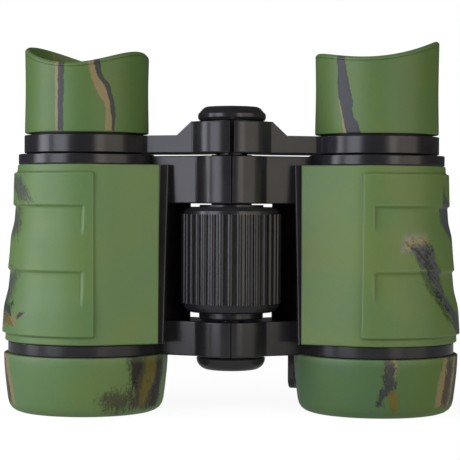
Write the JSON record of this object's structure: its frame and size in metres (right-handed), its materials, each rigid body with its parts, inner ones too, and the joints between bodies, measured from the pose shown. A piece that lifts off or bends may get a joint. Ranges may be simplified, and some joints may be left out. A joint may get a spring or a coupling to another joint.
{
  "type": "binoculars",
  "caption": "Compact hinged Galilean binoculars with rubber armour, winged eyecups and a captive centre focusing wheel.",
  "frame": {"origin": "on the standing surface, midway between the two optical axes and in their plane", "axes": "+Z along the optical axes towards the eyepieces, +X from the left barrel to the right one, -Y towards the side with the focusing wheel; both halves fully open"},
  "size_m": [0.1142, 0.0418, 0.092],
  "materials": {
    "body_plastic": "satin moulded",
    "inner_plastic": "matt anti-reflection",
    "washer_plastic": "plain black nylon",
    "armour_rubber": "matt with printed camouflage",
    "camo_rubber": "matt with printed camouflage",
    "lens_glass": "polished",
    "steel": "turned"
  },
  "bodies": {
    "left_half": {"left_barrel": "body_plastic", "left_armour": "armour_rubber", "left_objective_cover": "camo_rubber", "left_objective_lens": "lens_glass", "left_objective_retainer": "inner_plastic", "upper_hinge_bush": "inner_plastic", "lower_hinge_pin": "steel", "bottom_cap": "body_plastic", "upper_hinge_washer": "washer_plastic", "lower_hinge_washer": "washer_plastic"},
    "right_half": {"right_barrel": "body_plastic", "right_armour": "armour_rubber", "right_objective_cover": "camo_rubber", "right_objective_lens": "lens_glass", "right_objective_retainer": "inner_plastic"},
    "wheel": {"focus_wheel": "body_plastic"},
    "spindle": {"focus_spindle": "steel", "bridge_screw": "steel", "bridge_screw_washer": "steel", "top_cap": "body_plastic"},
    "left_eyepiece": {"left_bridge_arm": "body_plastic", "left_eyepiece_tube": "inner_plastic", "left_eye_lens": "lens_glass", "left_eye_retainer": "inner_plastic", "bridge_hinge_washer": "washer_plastic"},
    "right_eyepiece": {"right_bridge_arm": "body_plastic", "right_eyepiece_tube": "inner_plastic", "right_eye_lens": "lens_glass", "right_eye_retainer": "inner_plastic"},
    "left_cup": {"left_eyecup": "camo_rubber"},
    "right_cup": {"right_eyecup": "camo_rubber"}
  },
  "joints": [
    {"name": "barrel_fold", "type": "hinge", "parent": "left_half", "child": "right_half", "pos_m": [0, -0.005, 0.04], "axis": [0, 0, 1], "range_deg": [0, 62]},
    {"name": "focus_turn", "type": "hinge", "parent": "left_half", "child": "wheel", "pos_m": [0, -0.005, 0.037], "axis": [0, 0, 1], "range_deg": [0, 450]},
    {"name": "spindle_slide", "type": "slide", "parent": "left_half", "child": "spindle", "axis": [0, 0, 1], "range_m": [0, 0.005]},
    {"name": "left_eyepiece_slide", "type": "slide", "parent": "left_half", "child": "left_eyepiece", "axis": [0, 0, 1], "range_m": [0, 0.005]},
    {"name": "right_eyepiece_slide", "type": "slide", "parent": "right_half", "child": "right_eyepiece", "axis": [0, 0, 1], "range_m": [0, 0.005]},
    {"name": "left_eyecup_turn", "type": "hinge", "parent": "left_eyepiece", "child": "left_cup", "pos_m": [-0.0362, 0, 0.075], "axis": [0, 0, 1], "continuous": true},
    {"name": "right_eyecup_turn", "type": "hinge", "parent": "right_eyepiece", "child": "right_cup", "pos_m": [0.0362, 0, 0.075], "axis": [0, 0, 1], "continuous": true}
  ],
  "couplings": [
    {"joint": "focus_turn", "follows": "spindle_slide", "rad_per_m": 1570.8},
    {"joint": "left_eyepiece_slide", "follows": "spindle_slide", "ratio": 1},
    {"joint": "right_eyepiece_slide", "follows": "spindle_slide", "ratio": 1}
  ]
}
